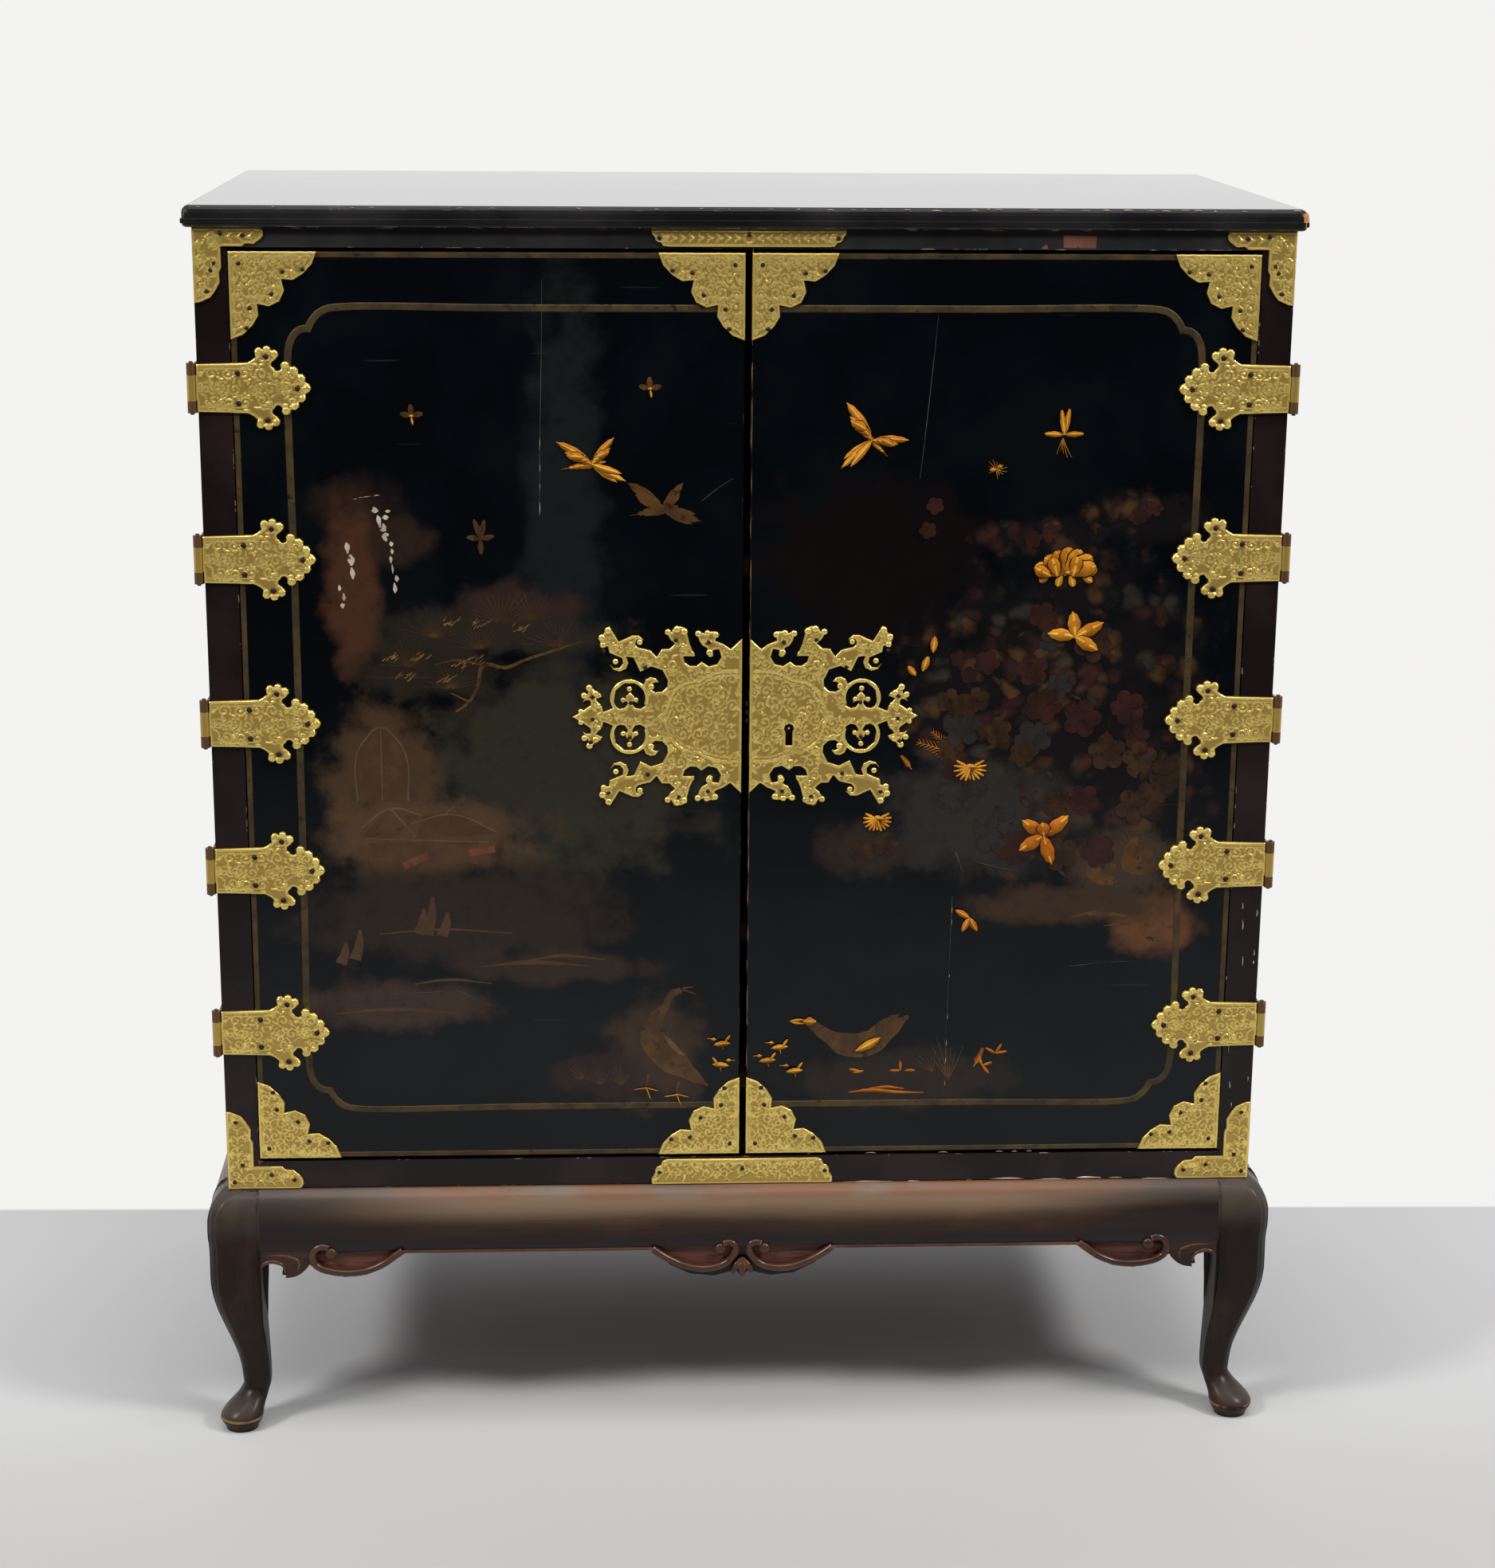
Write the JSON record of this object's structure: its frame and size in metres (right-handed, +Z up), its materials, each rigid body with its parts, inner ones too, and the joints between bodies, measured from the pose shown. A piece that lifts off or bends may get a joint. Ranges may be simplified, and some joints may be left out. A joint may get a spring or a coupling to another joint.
{
  "type": "lacquered cabinet on stand",
  "caption": "Tall cupboard with hinged doors, shelves, a lock and slide bolts, in black lacquer with pierced brass mounts, on a low stand with cabriole legs.",
  "frame": {"origin": "on the floor, in the middle of the stand's plan", "axes": "+Z up, +X to the right when facing the doors, the doors face -Y"},
  "size_m": [0.99, 0.493, 1.1385],
  "materials": {
    "black_lacquer": "gloss black lacquer over wood",
    "brown_lacquer": "worn brown-black lacquer over wood",
    "stand_wood": "dark red-brown polished hardwood",
    "inner_wood": "plain brown wood",
    "gilt_brass": "engraved and polished",
    "knuckle_brass": "darkened",
    "lock_brass": "dull",
    "bolt_steel": "dark steel"
  },
  "bodies": {
    "cabinet": {"leg_front_left": "stand_wood", "leg_front_right": "stand_wood", "leg_back_left": "stand_wood", "leg_back_right": "stand_wood", "stand_rail_front": "stand_wood", "stand_rail_back": "stand_wood", "stand_rail_left": "stand_wood", "stand_rail_right": "stand_wood", "side_left": "brown_lacquer", "side_right": "brown_lacquer", "top_board": "black_lacquer", "bottom_board": "inner_wood", "back_panel": "brown_lacquer", "top_rail": "brown_lacquer", "bottom_rail": "brown_lacquer", "shelf_1": "inner_wood", "shelf_2": "inner_wood", "shelf_3": "inner_wood", "hinge_leaf_left_1": "knuckle_brass", "hinge_leaf_left_2": "knuckle_brass", "hinge_leaf_left_3": "knuckle_brass", "hinge_leaf_left_4": "knuckle_brass", "hinge_leaf_left_5": "knuckle_brass", "hinge_leaf_right_1": "knuckle_brass", "hinge_leaf_right_2": "knuckle_brass", "hinge_leaf_right_3": "knuckle_brass", "hinge_leaf_right_4": "knuckle_brass", "hinge_leaf_right_5": "knuckle_brass", "case_corner_top_left": "gilt_brass", "case_corner_top_right": "gilt_brass", "case_corner_bottom_left": "gilt_brass", "case_corner_bottom_right": "gilt_brass", "rail_mount_top": "gilt_brass", "rail_mount_bottom": "gilt_brass"},
    "left_door": {"door_left": "black_lacquer", "hinge_strap_left_1": "gilt_brass", "hinge_strap_left_2": "gilt_brass", "hinge_strap_left_3": "gilt_brass", "hinge_strap_left_4": "gilt_brass", "hinge_strap_left_5": "gilt_brass", "door_corner_left_top_outer": "gilt_brass", "door_corner_left_top_inner": "gilt_brass", "door_corner_left_bottom_outer": "gilt_brass", "door_corner_left_bottom_inner": "gilt_brass", "escutcheon_left": "gilt_brass"},
    "right_door": {"door_right": "black_lacquer", "hinge_strap_right_1": "gilt_brass", "hinge_strap_right_2": "gilt_brass", "hinge_strap_right_3": "gilt_brass", "hinge_strap_right_4": "gilt_brass", "hinge_strap_right_5": "gilt_brass", "door_corner_right_top_outer": "gilt_brass", "door_corner_right_top_inner": "gilt_brass", "door_corner_right_bottom_outer": "gilt_brass", "door_corner_right_bottom_inner": "gilt_brass", "escutcheon_right": "gilt_brass", "lock_case": "lock_brass"},
    "lock_bolt": {"lock_bolt": "bolt_steel"},
    "slide_bolt_top": {"slide_bolt_top": "bolt_steel"},
    "slide_bolt_bottom": {"slide_bolt_bottom": "bolt_steel"}
  },
  "joints": [
    {"name": "left_door_hinge", "type": "hinge", "parent": "cabinet", "child": "left_door", "pos_m": [-0.48, -0.2278, 0.69], "axis": [0, 0, -1], "range_deg": [0, 180]},
    {"name": "right_door_hinge", "type": "hinge", "parent": "cabinet", "child": "right_door", "pos_m": [0.48, -0.2278, 0.69], "axis": [0, 0, 1], "range_deg": [0, 180]},
    {"name": "lock_bolt_slide", "type": "slide", "parent": "right_door", "child": "lock_bolt", "axis": [-1, 0, 0], "range_m": [0, 0.008]},
    {"name": "slide_bolt_top_slide", "type": "slide", "parent": "left_door", "child": "slide_bolt_top", "axis": [0, 0, 1], "range_m": [0, 0.012]},
    {"name": "slide_bolt_bottom_slide", "type": "slide", "parent": "left_door", "child": "slide_bolt_bottom", "axis": [0, 0, -1], "range_m": [0, 0.012]}
  ]
}
